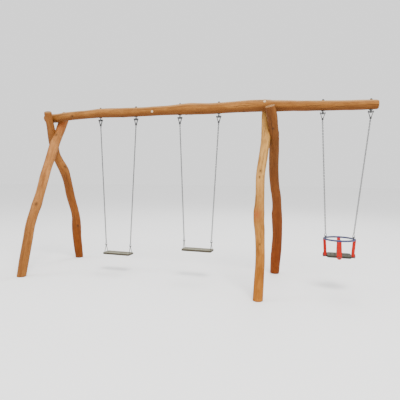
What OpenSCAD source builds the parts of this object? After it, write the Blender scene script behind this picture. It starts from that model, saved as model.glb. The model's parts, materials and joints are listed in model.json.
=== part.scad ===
// Log-framed swing set: a natural beam on two pairs of crossed legs, two flat
// seats and a toddler cradle on chains. Millimetres, +X along the beam, +Y to
// the back, +Z up, origin on the ground under the middle of the beam.

/* [Frame] */
// Length of the beam
beam_length = 5040; // [4960:10:5200]
// Distance between the front and the back foot centres
foot_spread = 1500; // [1400:10:1600]
// Height at which the legs of a pair cross
crossing_z = 2130; // [2120:5:2140]
// How far a leg bows outwards halfway up
leg_bow = 60; // [40:5:70]
// Place of the left pair of legs along the beam
left_pair_x = -2350; // [-2360:5:-2340]
// Place of the right pair of legs along the beam
right_pair_x = 1150; // [1145:5:1155]

/* [Swings] */
// Height of the hanger pins that the swings turn on
pivot_z = 2380; // [2376:1:2382]
// Places of the three swings along the beam
swing_x = [-1193, 118, 2130];
// Distances between the two hangers of the three swings
hanger_spacing = [610, 590, 590];
// Heights of the lower shackle pins of the three swings
low_pin_z = [418, 558, 744];
// Radius of the round bar that has the chain's mass
chain_r = 5.7; // [4:0.1:7]

/* [Flat seats] */
// Width of a flat seat along the beam
seat_w = 458; // [454:2:480]
// Depth of a flat seat from front to back
seat_d = 180; // [176:2:200]
// Thickness of a flat seat
seat_t = 30; // [28:1:36]
// Height of a stirrup's eye above the seat
stirrup_h = 108; // [90:2:130]
// Distance between the two stirrups of a seat
stirrup_spacing = 424; // [400:2:428]

/* [Cradle] */
// Place of the cradle along the beam
cradle_x = 2096; // [2090:2:2130]
// Radius of the ring's centre line
ring_r = 190; // [188:1:194]
// Radius of the ring's rubber sleeve
ring_tube_r = 13; // [12:0.5:14]
// Width of the cradle seat along the beam
cradle_w = 312; // [306:2:316]
// Depth of the cradle seat from front to back
cradle_d = 260; // [240:2:270]
// Thickness of the cradle seat
cradle_t = 30; // [28:1:34]
// Height of the eyes' pins above the ring's centre line
eye_rise = 32; // [31:1:36]
// Height of the ring's centre line above the top of the seat
cradle_deep = 206; // [200:1:215]

/* [Hidden] */
$fn = 48;

// Colours
wood_dark = [0.55, 0.32, 0.15];
wood_light = [0.72, 0.48, 0.24];
wood_pale = [0.86, 0.74, 0.55];
steel = [0.66, 0.67, 0.68];

// The beam as places along it: [x, height of the axis, radius].
beam_end = beam_length / 2;
beam_knots = [
    [-beam_end, 2440, 68], [-2290, 2440, 73], [-2100, 2462, 72], [-1730, 2481, 68],
    [-1520, 2491, 73], [-1100, 2487, 73], [-700, 2491, 72], [-310, 2498, 75],
    [0, 2504, 85], [310, 2498, 79], [660, 2508, 80], [1000, 2512, 84],
    [1160, 2503, 82], [1490, 2491, 74], [1950, 2478, 68], [2390, 2471, 66],
    [beam_end, 2469, 63]
];

// A leg as places up it: [height, sideways from its pair's place, radius].
left_back_knots = [
    [0, -52, 70], [200, -42, 77], [400, -28, 78], [600, 0, 83], [790, 28, 73],
    [1150, 11, 72], [1480, 16, 74], [1590, 8, 80], [1750, -42, 73], [1840, -64, 69],
    [2000, -60, 74], [2150, -43, 72], [2300, -22, 64], [2450, -10, 62], [2516, 0, 60]
];
left_front_knots = [
    [0, -46, 70], [220, -48, 72], [500, -45, 73], [800, -44, 74], [950, -24, 74],
    [1040, -10, 78], [1180, 3, 70], [1500, 12, 73], [1650, 18, 70], [1820, 28, 74],
    [1980, 33, 76], [2150, 58, 70], [2320, 74, 75], [2450, 90, 72], [2535, 100, 67]
];
right_back_knots = [
    [0, 28, 73], [120, 34, 76], [290, 46, 82], [460, 61, 79], [620, 72, 76],
    [940, 70, 81], [1100, 72, 72], [1250, 64, 72], [1400, 45, 70], [1550, 36, 71],
    [1960, 49, 71], [2110, 50, 71], [2230, 43, 69], [2350, 32, 72], [2480, 5, 70]
];
right_front_knots = [
    [0, -15, 64], [240, -14, 63], [470, -15, 61], [710, -33, 63], [840, -45, 68],
    [960, -63, 72], [1080, -70, 74], [1160, -70, 67], [1280, -73, 61], [1540, -88, 63],
    [1820, -70, 62], [2020, -58, 63], [2160, -60, 67], [2390, -77, 67], [2600, -84, 62]
];
knot_swell = 1;
foot_run = 120;
foot_cut = 400;

// The beam's seat in the legs' tops: [height, radius].
left_saddle = [2443, 77];
right_back_saddle = [2503, 87];
right_front_saddle = [2509, 89];
saddle_half = 200;

// How far the tools that cut holes run on past the surface they cut.
run_on = 2;
long_run_on = 50;

// Crossing joints: a flat lap where the two legs meet, and a rod through both.
lap_gap = 0.5;
lap_reach = 168;
lap_half = 80;
lap_length = 400;
left_lap_x = -2343;
right_lap_x = 1142;
crossing_lean = atan(foot_spread / 2 / crossing_z + leg_bow * PI / crossing_z);
crossing_seats = [[-2434, -2257], [1058, 1236]];
rod_r = 8;
sunk_r = 21;
sunk_depth = 31;
sunk_washer_r = 19;
washer_t = 4;
nut_t = 13;
nut_r = 13.9;
rod_tip = 20;
plug_t = 10;

// Screws between legs and beam: [x, y of the head's seat, z, y of the tip].
leg_screw_places = [
    [-2362, 64, 2441, -180], [-2262, 200, 2441, -50],
    [1172, 60, 2465, -145], [1072, -30, 2557, 228]
];
screw_r = 8;
screw_head_r = 12;
screw_head_t = 10;
screw_washer_r = 17;
screw_washer_t = 3;
screw_sink_r = 18.5;
screw_sink_run = 60;

// Pale round plugs in the beam's front: [x, z, y of the plug's inner face].
plug_places = [[-593, 2477, -48], [1072, 2557, -44]];
pale_plug_r = 18;
plug_front_y = -120;
plug_proud = 1.5;

// Hangers
hanger_x = [for (i = [0, 1, 2], s = [-1, 1]) swing_x[i] + s * hanger_spacing[i] / 2];
shank_r = 6;
neck_r = 8;
eye_r = 16;
eye_half = 15;
bush_r = 9;
pin_r = 6;
running_gap = 0.05;
hole_gap = 0.5;
plate_r = 25;
plate_t = 6;
plate_sink = 3;
top_washer_r = 18;
top_sink = 4;
top_nut_t = 11;
shank_proud = 3;
strap_half = 10;
strap_top = 33;
strap_inner = 25;
strap_eye_r = 14;
strap_crotch = [5, -62];
strap_elbow_z = -70;
lug_half = 13;
lug_z = -82;
lug_end = -92;
pin_head_r = 10;
pin_head_t = 4;

// Shackles: a pin, two ears, two legs and a bow, drawn with +Z into the bow.
bow_bar_r = 3.5;
ear_r = 7;
top_bow_r = 14.5;
top_leg = 20;
top_shackle_pin_r = 4;
low_bow_r = 11.5;
low_leg = 22;
low_shackle_pin_r = 5;
low_eye_r = 9;
low_eye_half = 7;
shackle_pin_proud = 2;
shackle_pin_gap = 0.1;
chain_clear = 1;

// Flat seats
seat_corner = 16;
core_t = 6;
core_margin = 8;
core_gap = 0.1;
stud_y = 42;
stud_r = 4.5;
bend_rise = 12;
bend_swell = 0.5;
stud_sink = 3;
seat_nut_t = 8;
seat_nut_r = 8.5;
seat_sink_r = 10.5;

// Cradle
cradle_pin_z = low_pin_z[2];
ring_z = cradle_pin_z - eye_rise;
ring_core_r = 8;
clip_r = 16;
clip_gap = 0.2;
strut_gap = 0.3;
knee_z = -184;
// A strut: [seat's half there, thickness, top width, width at the waist, waist, tip].
side_strut = [cradle_w / 2, 40, 46, 46, -150, -235.7];
front_strut = [cradle_d / 2, 26, 38, 62, -160, -252];
back_strut = [cradle_d / 2, 26, 42, 54, -160, -240];
cradle_eye_r = 178;
bracket_half = 8;
bracket_r = 17.5;
bracket_lug_z = 8;
bracket_slot = [40, 60];
cradle_corner = 22;
cradle_core_t = 5;
cradle_core_margin = 40;
drain_r = 7;
drain_step_x = 52;
drain_step_y = 44;
carrier_t = 8;
carrier_half = 20;
carrier_top_z = -192;
screw_drop = -cradle_deep - cradle_t / 2;
cradle_screw_r = 4;
cradle_screw_y = 12;
cradle_screw_reach = 24;
cradle_head_r = 8;
cradle_head_t = 5;

// Heights and radii of the beam anywhere along it.
function beam_z(x) = lookup(x, [for (k = beam_knots) [k[0], k[1]]]);
function beam_r(x) = lookup(x, [for (k = beam_knots) [k[0], k[2]]]);

// How far a leg stands out from the frame's middle plane at height z.
function lean(z) =
    foot_spread / 2 * (1 - z / crossing_z) + leg_bow * sin(180 * z / crossing_z);

// Points of a leg: side is 1 for a back foot and -1 for a front foot.
function leg_points(pair_x, side, knots) =
    [for (k = knots) [pair_x + k[1], side * lean(k[0]), k[0], k[2]]];

function point(k) = [k[0], k[1], k[2]];

// Places +Z along the line from p to q.
module along(p, q) {
    d = q - p;
    translate(p) rotate([0, acos(d[2] / norm(d)), atan2(d[1], d[0])]) children();
}

// A round bar, or a cone, from p to q.
module bar(p, q, r1, r2) {
    along(p, q) cylinder(h = norm(q - p), r1 = r1, r2 = r2);
}

// Cylinders along X and along Y.
module rod_x(x0, x1, r, y = 0, z = 0) {
    translate([x0, y, z]) rotate([0, 90, 0]) cylinder(h = x1 - x0, r = r);
}

module rod_y(y0, y1, r, x = 0, z = 0) {
    translate([x, y1, z]) rotate([90, 0, 0]) cylinder(h = y1 - y0, r = r);
}

module nut_x(x0, x1, r, y = 0, z = 0) {
    translate([x0, y, z]) rotate([0, 90, 0]) cylinder(h = x1 - x0, r = r, $fn = 6);
}

// The hole for a bar of radius r through a plate that stands on z = 0.
module through(t, r) {
    translate([0, 0, -run_on]) cylinder(h = t + 2 * run_on, r = r + running_gap);
}

// A ring of round bar around Z.
module torus(ring, bar_r) {
    rotate_extrude($fn = 96) translate([ring, 0]) circle(r = bar_r);
}

// A natural log: cones between its knots, with a slight swelling at each knot.
module log(points) {
    last = len(points) - 1;
    for (i = [0 : last - 1]) {
        bar(point(points[i]), point(points[i + 1]), points[i][3], points[i + 1][3]);
        if (i > 0) translate(point(points[i])) sphere(r = points[i][3] + knot_swell);
    }
}

// A leg log run on below the ground and cut flat at it.
module leg_log(points) {
    foot = points[0];
    step = point(points[1]) - point(foot);
    below = point(foot) - step * foot_run / norm(step);
    difference() {
        union() {
            log(points);
            bar(below, point(foot), foot[3], foot[3]);
            translate(point(foot)) sphere(r = foot[3] + knot_swell);
        }
        translate([foot[0], foot[1], -foot_run])
            cube([foot_cut, foot_cut, 2 * foot_run], center = true);
    }
}

// The lap that a leg gives way to its partner in: one side of the plane x,
// as wide as the partner and leaning with it.
module lap(x, towards, side) {
    translate([x - towards * lap_gap / 2, 0, crossing_z])
        rotate([side * crossing_lean, 0, 0])
            translate([towards > 0 ? 0 : -lap_reach, -lap_half, -lap_length / 2])
                cube([lap_reach, 2 * lap_half, lap_length]);
}

module beam() {
    color(wood_dark)
    difference() {
        log([for (k = beam_knots) [k[0], 0, k[1], k[2]]]);
        for (x = hanger_x) hanger_hole(x);
        for (p = leg_screw_places) screw_hole(p);
        for (p = plug_places) rod_y(plug_front_y, p[2], pale_plug_r + hole_gap, p[0], p[1]);
    }
}

// The vertical hole for a hanger's shank, with a flat seat at each end.
module hanger_hole(x) {
    z = beam_z(x);
    r = beam_r(x);
    low_z = z - r - long_run_on;
    translate([x, 0, low_z]) cylinder(h = 2 * (r + long_run_on), r = shank_r + hole_gap);
    translate([x, 0, low_z]) cylinder(h = long_run_on + plate_sink, r = plate_r + hole_gap);
    translate([x, 0, z + r - top_sink]) cylinder(h = long_run_on, r = top_washer_r + hole_gap);
}

// The hole for a screw between a leg and the beam, sunk at the head.
module screw_hole(p) {
    sink = p[3] > p[1] ? p[1] - screw_sink_run : p[1];
    rod_y(min(p[1], p[3]) - run_on, max(p[1], p[3]) + run_on, screw_r + hole_gap / 2, p[0], p[2]);
    rod_y(sink, sink + screw_sink_run, screw_sink_r, p[0], p[2]);
}

module crossing_hole(seats) {
    rod_x(seats[0] - run_on, seats[1] + run_on, rod_r + hole_gap, 0, crossing_z);
    rod_x(seats[0] - sunk_depth - long_run_on, seats[0], sunk_r, 0, crossing_z);
    rod_x(seats[1], seats[1] + sunk_depth + long_run_on, sunk_r, 0, crossing_z);
}

// The hollow that a leg's top has for the beam.
module saddle(x, form) {
    rod_x(x - saddle_half, x + saddle_half, form[1], 0, form[0]);
}

module left_back_leg() {
    color(wood_light)
    difference() {
        leg_log(leg_points(left_pair_x, 1, left_back_knots));
        lap(left_lap_x, 1, -1);
        saddle(left_pair_x, left_saddle);
        crossing_hole(crossing_seats[0]);
        screw_hole(leg_screw_places[0]);
    }
}

module left_front_leg() {
    color(wood_dark)
    difference() {
        leg_log(leg_points(left_pair_x, -1, left_front_knots));
        lap(left_lap_x, -1, 1);
        saddle(left_pair_x, left_saddle);
        crossing_hole(crossing_seats[0]);
        screw_hole(leg_screw_places[1]);
    }
}

module right_back_leg() {
    color(wood_dark)
    difference() {
        leg_log(leg_points(right_pair_x, 1, right_back_knots));
        lap(right_lap_x, -1, -1);
        saddle(right_pair_x, right_back_saddle);
        crossing_hole(crossing_seats[1]);
        screw_hole(leg_screw_places[2]);
    }
}

module right_front_leg() {
    color(wood_light)
    difference() {
        leg_log(leg_points(right_pair_x, -1, right_front_knots));
        lap(right_lap_x, 1, 1);
        saddle(right_pair_x, right_front_saddle);
        crossing_hole(crossing_seats[1]);
        screw_hole(leg_screw_places[3]);
    }
}

module crossing_rods() {
    color(steel)
    for (s = crossing_seats) rod_x(s[0] - rod_tip, s[1] + rod_tip, rod_r, 0, crossing_z);
}

module crossing_washers() {
    color(steel)
    for (s = crossing_seats)
        difference() {
            union() {
                rod_x(s[0] - washer_t, s[0], sunk_washer_r, 0, crossing_z);
                rod_x(s[1], s[1] + washer_t, sunk_washer_r, 0, crossing_z);
            }
            rod_x(s[0] - long_run_on, s[1] + long_run_on, rod_r + running_gap, 0, crossing_z);
        }
}

module crossing_nuts() {
    color(steel)
    for (s = crossing_seats)
        difference() {
            union() {
                nut_x(s[0] - washer_t - nut_t, s[0] - washer_t, nut_r, 0, crossing_z);
                nut_x(s[1] + washer_t, s[1] + washer_t + nut_t, nut_r, 0, crossing_z);
            }
            rod_x(s[0] - long_run_on, s[1] + long_run_on, rod_r + running_gap, 0, crossing_z);
        }
}

// Wooden discs that close the sunk holes of the crossing rods.
module crossing_plugs() {
    color(wood_light)
    for (s = crossing_seats) {
        rod_x(s[0] - rod_tip - 1 - plug_t, s[0] - rod_tip - 1, sunk_r - 0.2, 0, crossing_z);
        rod_x(s[1] + rod_tip + 1, s[1] + rod_tip + 1 + plug_t, sunk_r - 0.2, 0, crossing_z);
    }
}

module leg_screws() {
    color(steel)
    for (p = leg_screw_places) {
        way = p[3] > p[1] ? 1 : -1;
        head = p[1] - way * screw_washer_t;
        rod_y(min(head, p[3]), max(head, p[3]), screw_r, p[0], p[2]);
        translate([p[0], head, p[2]])
            rotate([90 * way, 0, 0])
                cylinder(h = screw_head_t, r = screw_head_r, $fn = 6);
    }
}

module leg_screw_washers() {
    color(steel)
    for (p = leg_screw_places) {
        way = p[3] > p[1] ? 1 : -1;
        low = min(p[1], p[1] - way * screw_washer_t);
        difference() {
            rod_y(low, low + screw_washer_t, screw_washer_r, p[0], p[2]);
            rod_y(low - run_on, low + screw_washer_t + run_on, screw_r + running_gap, p[0], p[2]);
        }
    }
}

// Round plugs of pale wood, rounded off with the beam's surface.
module pale_plugs() {
    color(wood_pale)
    for (p = plug_places)
        intersection() {
            rod_y(plug_front_y, p[2], pale_plug_r, p[0], p[1]);
            rod_x(
                p[0] - 2 * pale_plug_r, p[0] + 2 * pale_plug_r,
                beam_r(p[0]) + plug_proud, 0, beam_z(p[0])
            );
        }
}

// A shank through the beam with an eye below it for the bush and the pin.
module hanger_eyebolts() {
    color(steel)
    for (x = hanger_x) {
        plate_z = beam_z(x) - beam_r(x) + plate_sink - plate_t;
        top = beam_z(x) + beam_r(x) - top_sink + washer_t + top_nut_t + shank_proud;
        difference() {
            union() {
                translate([x, 0, pivot_z]) cylinder(h = plate_z - pivot_z, r = neck_r);
                translate([x, 0, pivot_z]) cylinder(h = top - pivot_z, r = shank_r);
                rod_x(x - eye_half, x + eye_half, eye_r, 0, pivot_z);
            }
            rod_x(x - long_run_on, x + long_run_on, bush_r, 0, pivot_z);
        }
    }
}

module hanger_bushes() {
    color([0.2, 0.2, 0.22])
    for (x = hanger_x)
        difference() {
            rod_x(x - eye_half, x + eye_half, bush_r, 0, pivot_z);
            rod_x(x - long_run_on, x + long_run_on, pin_r + running_gap, 0, pivot_z);
        }
}

module hanger_plates() {
    color(steel)
    for (x = hanger_x)
        translate([x, 0, beam_z(x) - beam_r(x) + plate_sink - plate_t])
            difference() {
                cylinder(h = plate_t, r = plate_r);
                through(plate_t, shank_r);
            }
}

module hanger_washers() {
    color(steel)
    for (x = hanger_x)
        translate([x, 0, beam_z(x) + beam_r(x) - top_sink])
            difference() {
                cylinder(h = washer_t, r = top_washer_r);
                through(washer_t, shank_r);
            }
}

module hanger_nuts() {
    color(steel)
    for (x = hanger_x)
        translate([x, 0, beam_z(x) + beam_r(x) - top_sink + washer_t])
            difference() {
                cylinder(h = top_nut_t, r = nut_r, $fn = 6);
                through(top_nut_t, shank_r);
            }
}

// The two hangers of swing i.
function hangers(i) = [for (s = [-1, 1]) swing_x[i] + s * hanger_spacing[i] / 2];

// The two lower shackle pins of swing i.
function low_pins(i) =
    i < 2 ? [for (s = [-1, 1]) swing_x[i] + s * stirrup_spacing / 2]
          : [for (s = [-1, 1]) cradle_x + s * cradle_eye_r];

// A flat bar bent to a V, with an eye on each arm and a lug at the bottom.
module straps(i) {
    color(steel)
    for (x = hangers(i))
        translate([x, 0, pivot_z])
            difference() {
                union() {
                    rod_x(-strap_top, -strap_inner, strap_eye_r);
                    rod_x(strap_inner, strap_top, strap_eye_r);
                    translate([0, strap_half, 0])
                        rotate([90, 0, 0])
                            linear_extrude(2 * strap_half)
                                polygon([
                                    [strap_inner, 0], [strap_top, 0],
                                    [lug_half, strap_elbow_z], [lug_half, lug_end],
                                    [-lug_half, lug_end], [-lug_half, strap_elbow_z],
                                    [-strap_top, 0], [-strap_inner, 0],
                                    [-strap_crotch[0], strap_crotch[1]], strap_crotch
                                ]);
                }
                rod_x(-long_run_on, long_run_on, pin_r + running_gap);
                rod_y(-long_run_on, long_run_on, top_shackle_pin_r + shackle_pin_gap, 0, lug_z);
            }
}

module pins(i) {
    color(steel)
    for (x = hangers(i)) {
        rod_x(x - strap_top - pin_head_t, x + strap_top + pin_head_t, pin_r, 0, pivot_z);
        rod_x(x - strap_top - pin_head_t, x - strap_top, pin_head_r, 0, pivot_z);
        rod_x(x + strap_top, x + strap_top + pin_head_t, pin_head_r, 0, pivot_z);
    }
}

// A shackle with its pin along Y at the origin and its bow towards +Z.
module shackle(shackle_pin_r, bow, leg) {
    pin_half = bow + bow_bar_r + shackle_pin_proud;
    rod_y(-pin_half, pin_half, shackle_pin_r);
    for (s = [-1, 1]) {
        rod_y(s * bow - bow_bar_r, s * bow + bow_bar_r, ear_r);
        translate([0, s * bow, 0]) cylinder(h = leg, r = bow_bar_r);
    }
    translate([0, 0, leg])
        rotate([90, 0, 90])
            rotate_extrude(angle = 180, $fn = 96)
                translate([bow, 0]) circle(r = bow_bar_r);
}

// The chain's top and bottom ends.
function chain_top(i, side) = [hangers(i)[side], 0, pivot_z + lug_z];
function chain_end(i, side) = [low_pins(i)[side], 0, low_pin_z[i] + low_leg + low_bow_r];

module top_shackles(i) {
    color(steel)
    for (side = [0, 1])
        along(chain_top(i, side), chain_end(i, side))
            shackle(top_shackle_pin_r, top_bow_r, top_leg);
}

module low_shackles(i) {
    color(steel)
    for (x = low_pins(i))
        translate([x, 0, low_pin_z[i]])
            rotate([0, 0, 90])
                shackle(low_shackle_pin_r, low_bow_r, low_leg);
}

// The chain, drawn as a round bar of the chain's own mass.
module chain(i, side) {
    top = chain_top(i, side);
    end = chain_end(i, side);
    start = top_leg + top_bow_r + bow_bar_r + chain_clear;
    stop = norm(end - top) - bow_bar_r - chain_clear;
    color(steel)
    along(top, end)
        translate([0, 0, start])
            cylinder(h = stop - start, r = chain_r);
}

// A plate with round corners, standing on z = 0.
module rounded_plate(w, d, t, corner) {
    linear_extrude(t)
        union() {
            square([w - 2 * corner, d], center = true);
            square([w, d - 2 * corner], center = true);
            for (sx = [-1, 1], sy = [-1, 1])
                translate([sx * (w / 2 - corner), sy * (d / 2 - corner)]) circle(r = corner);
        }
}

function seat_top(i) = low_pin_z[i] - stirrup_h;

// Where the four studs of seat i go through it.
function stud_places(i) =
    [for (s = [-1, 1], y = [-1, 1]) [swing_x[i] + s * stirrup_spacing / 2, y * stud_y]];

module seat_rubber(i) {
    color([0.62, 0.60, 0.54])
    difference() {
        translate([swing_x[i], 0, seat_top(i) - seat_t])
            rounded_plate(seat_w, seat_d, seat_t, seat_corner);
        translate([swing_x[i], 0, seat_top(i) - seat_t / 2])
            cube([
                seat_w - 2 * core_margin + 2 * core_gap,
                seat_d - 2 * core_margin + 2 * core_gap,
                core_t + 2 * core_gap
            ], center = true);
        for (p = stud_places(i)) {
            translate([p[0], p[1], seat_top(i) - seat_t - run_on])
                cylinder(h = seat_t + 2 * run_on, r = stud_r + hole_gap);
            translate([p[0], p[1], seat_top(i) - seat_t - run_on])
                cylinder(h = run_on + stud_sink + seat_nut_t, r = seat_sink_r);
        }
    }
}

module seat_core(i) {
    color([0.8, 0.8, 0.82])
    difference() {
        translate([swing_x[i], 0, seat_top(i) - seat_t / 2])
            cube([seat_w - 2 * core_margin, seat_d - 2 * core_margin, core_t], center = true);
        for (p = stud_places(i))
            translate([p[0], p[1], seat_top(i) - seat_t])
                cylinder(h = seat_t, r = stud_r + running_gap);
    }
}

// An upturned V of round bar, with the eye at its top and a stud at each foot.
module stirrups(i) {
    color(steel)
    for (x = low_pins(i))
        translate([x, 0, low_pin_z[i]])
            difference() {
                union() {
                    rod_x(-low_eye_half, low_eye_half, low_eye_r);
                    for (s = [-1, 1]) {
                        bend = [0, s * stud_y, bend_rise - stirrup_h];
                        tip = [0, s * stud_y, stud_sink - stirrup_h - seat_t];
                        bar([0, 0, 0], bend, stud_r, stud_r);
                        translate(bend) sphere(r = stud_r + bend_swell);
                        bar(tip, bend, stud_r, stud_r);
                    }
                }
                rod_x(-long_run_on, long_run_on, low_shackle_pin_r + running_gap);
            }
}

module seat_nuts(i) {
    color(steel)
    for (p = stud_places(i))
        translate([p[0], p[1], seat_top(i) - seat_t + stud_sink])
            difference() {
                cylinder(h = seat_nut_t, r = seat_nut_r, $fn = 6);
                through(seat_nut_t, stud_r);
            }
}

// The cradle is drawn around its own middle, with the ring's centre line at z = 0.
module at_cradle() {
    translate([cradle_x, 0, ring_z]) children();
}

module cradle_ring() {
    color([0.16, 0.2, 0.45])
    at_cradle()
        difference() {
            torus(ring_r, ring_tube_r);
            torus(ring_r, ring_core_r);
        }
}

module cradle_ring_core() {
    color(steel)
    at_cradle() torus(ring_r, ring_core_r);
}

// A strap around the ring on each side, with the eye for the shackle's pin.
module cradle_brackets() {
    color(steel)
    at_cradle()
        for (turn = [0, 180])
            rotate([0, 0, turn])
                difference() {
                    union() {
                        rod_y(-bracket_half, bracket_half, bracket_r, ring_r);
                        translate([cradle_eye_r - low_eye_half, -bracket_half, bracket_lug_z])
                            cube([2 * low_eye_half, 2 * bracket_half, eye_rise - bracket_lug_z]);
                        rod_x(
                            cradle_eye_r - low_eye_half, cradle_eye_r + low_eye_half,
                            low_eye_r, 0, eye_rise
                        );
                    }
                    torus(ring_r, ring_tube_r + clip_gap);
                    rod_x(
                        cradle_eye_r - long_run_on, cradle_eye_r + long_run_on,
                        low_shackle_pin_r + running_gap, 0, eye_rise
                    );
                }
}

// A strut's blade seen from the side, from the ring down to the seat's edge.
module blade_side(inner, thick, low_z) {
    polygon([
        [ring_r - thick / 2, 0], [ring_r + thick / 2 - 1, 0], [inner + thick, knee_z],
        [inner + thick, low_z], [inner, low_z], [inner, knee_z]
    ]);
}

// The blade seen from outside the cradle, down to where its round tip starts.
module blade_front(top_w, waist_w, waist_z, low_z) {
    polygon([
        [-top_w / 2, clip_r], [top_w / 2, clip_r], [waist_w / 2, waist_z],
        [waist_w / 2, low_z], [-waist_w / 2, low_z], [-waist_w / 2, waist_z]
    ]);
}

// A strut of the cradle, drawn at +X and turned to its place: a clip around the
// ring, a blade, and a round tip in front of the seat's edge.
module strut(turn, form, slotted) {
    inner = form[0] + strut_gap;
    thick = form[1];
    top_w = form[2];
    waist_w = form[3];
    low_z = form[5] + waist_w / 2;
    at_cradle()
        rotate([0, 0, turn])
            difference() {
                union() {
                    intersection() {
                        translate([0, waist_w, 0])
                            rotate([90, 0, 0])
                                linear_extrude(2 * waist_w) blade_side(inner, thick, low_z);
                        translate([inner - thick, 0, 0])
                            rotate([90, 0, 90])
                                linear_extrude(4 * thick)
                                    blade_front(top_w, waist_w, form[4], low_z);
                    }
                    rod_y(-top_w / 2, top_w / 2, clip_r, ring_r);
                    rod_x(inner, inner + thick, waist_w / 2, 0, low_z);
                }
                torus(ring_r, ring_tube_r + clip_gap);
                if (slotted) {
                    rod_y(-bracket_half - 1, bracket_half + 1, bracket_r + 1, ring_r);
                    translate([ring_r - bracket_slot[0], -bracket_half - 1, 0])
                        cube([2 * bracket_slot[0], 2 * bracket_half + 2, bracket_slot[1]]);
                }
                for (y = [-1, 1])
                    rod_x(
                        inner - run_on, inner + thick + run_on, cradle_screw_r + running_gap,
                        y * cradle_screw_y, screw_drop
                    );
            }
}

module cradle_left_strut() {
    color([0.85, 0.2, 0.14])
    strut(180, side_strut, true);
}

module cradle_right_strut() {
    color([0.85, 0.2, 0.14])
    strut(0, side_strut, true);
}

module cradle_front_strut() {
    color([0.85, 0.2, 0.14])
    strut(-90, front_strut, false);
}

module cradle_back_strut() {
    color([0.85, 0.2, 0.14])
    strut(90, back_strut, false);
}

// Half of the seat's size along X and along Y, as seen by a strut at each turn.
function seat_half(turn) = turn % 180 == 0 ? cradle_w / 2 : cradle_d / 2;

// Where the outside of a strut's lower end is, with the carrier on the sides.
function strut_face(turn) =
    turn % 180 == 0 ? seat_half(turn) + strut_gap + side_strut[1] + strut_gap + carrier_t
                    : seat_half(turn) + strut_gap + front_strut[1];

module drain_holes() {
    for (ix = [-2 : 2], iy = [-2 : 2])
        translate([ix * drain_step_x, iy * drain_step_y, -cradle_t])
            cylinder(h = 3 * cradle_t, r = drain_r);
}

// The holes for the struts' screws, two on each side.
module strut_screw_holes(z) {
    for (turn = [0 : 90 : 270], y = [-1, 1])
        rotate([0, 0, turn])
            rod_x(
                seat_half(turn) - cradle_screw_reach - run_on, cradle_w, cradle_screw_r + running_gap,
                y * cradle_screw_y, z
            );
}

// The seat with its drain holes.
module cradle_seat() {
    color([0.24, 0.24, 0.2])
    at_cradle()
        translate([0, 0, -cradle_deep - cradle_t])
            difference() {
                rounded_plate(cradle_w, cradle_d, cradle_t, cradle_corner);
                translate([0, 0, cradle_t / 2])
                    cube([
                        cradle_w - cradle_core_margin + 2 * core_gap,
                        cradle_d - cradle_core_margin + 2 * core_gap,
                        cradle_core_t + 2 * core_gap
                    ], center = true);
                drain_holes();
                strut_screw_holes(cradle_t / 2);
            }
}

module cradle_seat_core() {
    color([0.8, 0.8, 0.82])
    at_cradle()
        translate([0, 0, -cradle_deep - cradle_t / 2])
            difference() {
                cube([
                    cradle_w - cradle_core_margin, cradle_d - cradle_core_margin, cradle_core_t
                ], center = true);
                drain_holes();
                strut_screw_holes(0);
            }
}

// A flat bar under the seat, turned up outside the two side struts.
module cradle_carrier() {
    reach = strut_face(0);
    low_z = -cradle_deep - cradle_t - carrier_t - strut_gap;
    color([0.2, 0.2, 0.2])
    at_cradle()
        difference() {
            union() {
                translate([-reach, -carrier_half, low_z])
                    cube([2 * reach, 2 * carrier_half, carrier_t]);
                for (s = [-1, 1])
                    translate([
                        s * (reach - carrier_t / 2), 0, (low_z + carrier_top_z) / 2
                    ])
                        cube([carrier_t, 2 * carrier_half, carrier_top_z - low_z], center = true);
            }
            for (y = [-1, 1])
                rod_x(
                    -cradle_w, cradle_w, cradle_screw_r + running_gap,
                    y * cradle_screw_y, screw_drop
                );
            for (ix = [-2 : 2])
                translate([ix * drain_step_x, 0, low_z - run_on])
                    cylinder(h = 2 * carrier_t, r = drain_r);
        }
}

module cradle_screws() {
    color(steel)
    at_cradle()
        for (turn = [0 : 90 : 270], y = [-1, 1])
            rotate([0, 0, turn]) {
                face = strut_face(turn);
                start = seat_half(turn) - cradle_screw_reach;
                rod_x(start, face, cradle_screw_r, y * cradle_screw_y, screw_drop);
                rod_x(face, face + cradle_head_t, cradle_head_r, y * cradle_screw_y, screw_drop);
            }
}

beam();
left_back_leg();
left_front_leg();
right_back_leg();
right_front_leg();
crossing_rods();
crossing_washers();
crossing_nuts();
crossing_plugs();
leg_screws();
leg_screw_washers();
pale_plugs();
hanger_eyebolts();
hanger_bushes();
hanger_plates();
hanger_washers();
hanger_nuts();
straps(0);  // left_swing_straps
pins(0);  // left_swing_pins
top_shackles(0);  // left_swing_top_shackles
chain(0, 0);  // left_swing_left_chain
chain(0, 1);  // left_swing_right_chain
low_shackles(0);  // left_swing_low_shackles
straps(1);  // middle_swing_straps
pins(1);  // middle_swing_pins
top_shackles(1);  // middle_swing_top_shackles
chain(1, 0);  // middle_swing_left_chain
chain(1, 1);  // middle_swing_right_chain
low_shackles(1);  // middle_swing_low_shackles
straps(2);  // cradle_swing_straps
pins(2);  // cradle_swing_pins
top_shackles(2);  // cradle_swing_top_shackles
chain(2, 0);  // cradle_swing_left_chain
chain(2, 1);  // cradle_swing_right_chain
low_shackles(2);  // cradle_swing_low_shackles
seat_rubber(0);  // left_seat_rubber
seat_core(0);  // left_seat_core
stirrups(0);  // left_seat_stirrups
seat_nuts(0);  // left_seat_nuts
seat_rubber(1);  // middle_seat_rubber
seat_core(1);  // middle_seat_core
stirrups(1);  // middle_seat_stirrups
seat_nuts(1);  // middle_seat_nuts
cradle_ring();
cradle_ring_core();
cradle_brackets();
cradle_left_strut();
cradle_right_strut();
cradle_front_strut();
cradle_back_strut();
cradle_seat();
cradle_seat_core();
cradle_carrier();
cradle_screws();
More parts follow.
